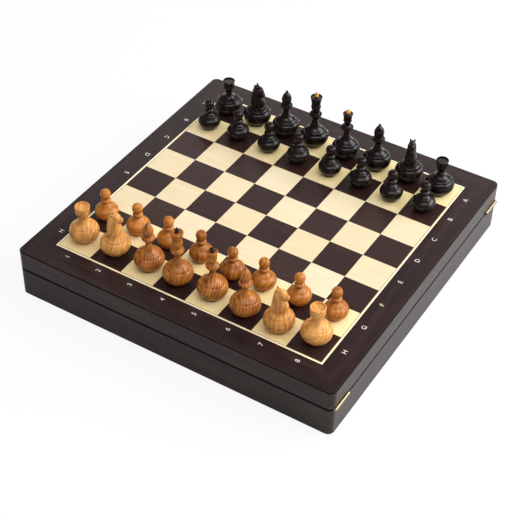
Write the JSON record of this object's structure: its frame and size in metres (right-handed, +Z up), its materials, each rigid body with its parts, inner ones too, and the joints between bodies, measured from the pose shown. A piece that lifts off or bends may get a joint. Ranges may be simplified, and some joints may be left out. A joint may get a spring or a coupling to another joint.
{
  "type": "chess box",
  "caption": "Flat wooden box whose hinged lid is an inlaid chess board with a dark lettered border, and a set of turned bulb-footed men that stand on it.",
  "frame": {"origin": "middle of the underside, on the surface that the box stands on", "axes": "+Z up through the board; -Y towards the front side, with the figures; +X towards the hinged side"},
  "size_m": [0.4348, 0.432, 0.1505],
  "materials": {
    "case_wood": "dark brown open-pored wood, satin lacquer",
    "inner_wood": "plain light plywood, unfinished",
    "plywood": "plywood, unfinished",
    "green_felt": "matte felt",
    "light_veneer": "cream veneer with fine grain, satin lacquer",
    "dark_veneer": "dark brown veneer with fine grain, satin lacquer",
    "stringing": "cream veneer strip, satin lacquer",
    "brass": "polished brass",
    "steel": "plain steel",
    "men_light": "turned medium brown wood, satin lacquer",
    "men_dark": "turned near-black wood, gloss lacquer"
  },
  "bodies": {
    "base": {"base_back_rail": "case_wood", "base_felt": "green_felt", "base_front_rail": "case_wood", "base_left_rail": "case_wood", "base_lining": "green_felt", "base_magnets": "steel", "base_right_rail": "case_wood", "bottom_panel": "inner_wood", "cross_divider": "inner_wood", "far_hinge_base_leaf": "brass", "far_hinge_pin": "brass", "long_divider": "inner_wood", "near_hinge_base_leaf": "brass", "near_hinge_pin": "brass"},
    "lid": {"board_panel": "plywood", "dark_squares": "dark_veneer", "far_hinge_lid_leaf": "brass", "lid_back_rail": "case_wood", "lid_front_rail": "case_wood", "lid_left_rail": "case_wood", "lid_lining": "green_felt", "lid_magnets": "steel", "lid_right_rail": "case_wood", "light_squares": "light_veneer", "near_hinge_lid_leaf": "brass", "stringing": "stringing"},
    "light_pawns": {"light_pawns": "men_light"},
    "light_rooks": {"light_rooks": "men_light"},
    "light_knights": {"light_knights": "men_light"},
    "light_bishops": {"light_bishops": "men_light"},
    "light_king": {"light_king": "men_light", "light_king_finial": "men_dark"},
    "light_queen": {"light_queen": "men_light", "light_queen_finial": "men_dark"},
    "dark_pawns": {"dark_pawns": "men_dark"},
    "dark_rooks": {"dark_rooks": "men_dark"},
    "dark_knights": {"dark_knights": "men_dark"},
    "dark_bishops": {"dark_bishops": "men_dark"},
    "dark_king": {"dark_king": "men_dark", "dark_king_finial": "men_light"},
    "dark_queen": {"dark_queen": "men_dark", "dark_queen_finial": "men_light"}
  },
  "joints": [
    {"name": "board_lid_hinge", "type": "hinge", "parent": "base", "child": "lid", "pos_m": [0.2166, 0, 0.04], "axis": [0, -1, 0], "range_deg": [-100, 0]},
    {"name": "lift_light_pawns", "type": "slide", "parent": "lid", "child": "light_pawns", "axis": [0, 0, 1], "range_m": [0, 0.1]},
    {"name": "lift_light_rooks", "type": "slide", "parent": "lid", "child": "light_rooks", "axis": [0, 0, 1], "range_m": [0, 0.1]},
    {"name": "lift_light_knights", "type": "slide", "parent": "lid", "child": "light_knights", "axis": [0, 0, 1], "range_m": [0, 0.1]},
    {"name": "lift_light_bishops", "type": "slide", "parent": "lid", "child": "light_bishops", "axis": [0, 0, 1], "range_m": [0, 0.1]},
    {"name": "lift_light_king", "type": "slide", "parent": "lid", "child": "light_king", "axis": [0, 0, 1], "range_m": [0, 0.1]},
    {"name": "lift_light_queen", "type": "slide", "parent": "lid", "child": "light_queen", "axis": [0, 0, 1], "range_m": [0, 0.1]},
    {"name": "lift_dark_pawns", "type": "slide", "parent": "lid", "child": "dark_pawns", "axis": [0, 0, 1], "range_m": [0, 0.1]},
    {"name": "lift_dark_rooks", "type": "slide", "parent": "lid", "child": "dark_rooks", "axis": [0, 0, 1], "range_m": [0, 0.1]},
    {"name": "lift_dark_knights", "type": "slide", "parent": "lid", "child": "dark_knights", "axis": [0, 0, 1], "range_m": [0, 0.1]},
    {"name": "lift_dark_bishops", "type": "slide", "parent": "lid", "child": "dark_bishops", "axis": [0, 0, 1], "range_m": [0, 0.1]},
    {"name": "lift_dark_king", "type": "slide", "parent": "lid", "child": "dark_king", "axis": [0, 0, 1], "range_m": [0, 0.1]},
    {"name": "lift_dark_queen", "type": "slide", "parent": "lid", "child": "dark_queen", "axis": [0, 0, 1], "range_m": [0, 0.1]}
  ]
}
